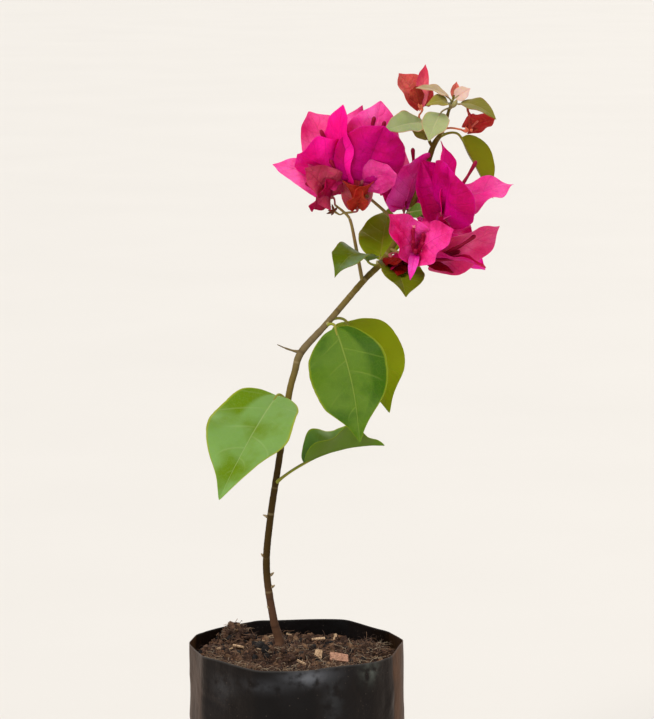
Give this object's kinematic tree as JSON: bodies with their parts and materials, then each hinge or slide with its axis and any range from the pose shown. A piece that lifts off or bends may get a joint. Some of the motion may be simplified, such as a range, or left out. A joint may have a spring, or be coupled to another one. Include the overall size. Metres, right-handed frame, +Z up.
{
  "type": "potted bougainvillea plant",
  "caption": "Young flowering shrub with one leaning stem, broad loose leaves and papery bract clusters, rooted in soil in a soft black nursery bag.",
  "frame": {"origin": "centre of the flat underside of the bag", "axes": "+Z up, +X to the side that the stem leans to, -Y the front"},
  "size_m": [0.1936, 0.1321, 0.5128],
  "materials": {
    "bag": "thin black polythene film, softly glossy, creased",
    "soil": "dark crumbly potting soil with coir fibre and bark chips",
    "stem": "olive to grey-brown young bark with pale lenticels and leaf scars",
    "twig": "finely downy green-brown flower twigs",
    "leaf": "soft satin leaf, pale raised midrib and side veins, yellow-green edge",
    "young_leaf": "downy grey-green young leaf, flushed pink at the edge",
    "blossom": "papery magenta bracts with a fine net of darker veins",
    "red_blossom": "young dusty red bracts, downy, strongly veined"
  },
  "bodies": {
    "root": {"bag": "bag", "soil": "soil", "main_stem": "stem", "low_twig": "twig", "high_twig": "twig", "leaf_low_left": "leaf", "leaf_mid_front": "leaf", "leaf_mid_back": "leaf", "leaf_low_right": "leaf", "leaf_twig": "leaf", "leaf_back": "leaf", "leaf_under": "leaf", "leaf_small": "leaf", "leaf_high_right": "leaf", "leaf_high_left": "young_leaf", "leaf_high_front": "young_leaf", "tip_leaves": "young_leaf", "blossom_left": "blossom", "blossom_middle": "blossom", "blossom_right": "blossom", "blossom_high_left": "red_blossom", "blossom_high_right": "red_blossom"}
  },
  "joints": []
}
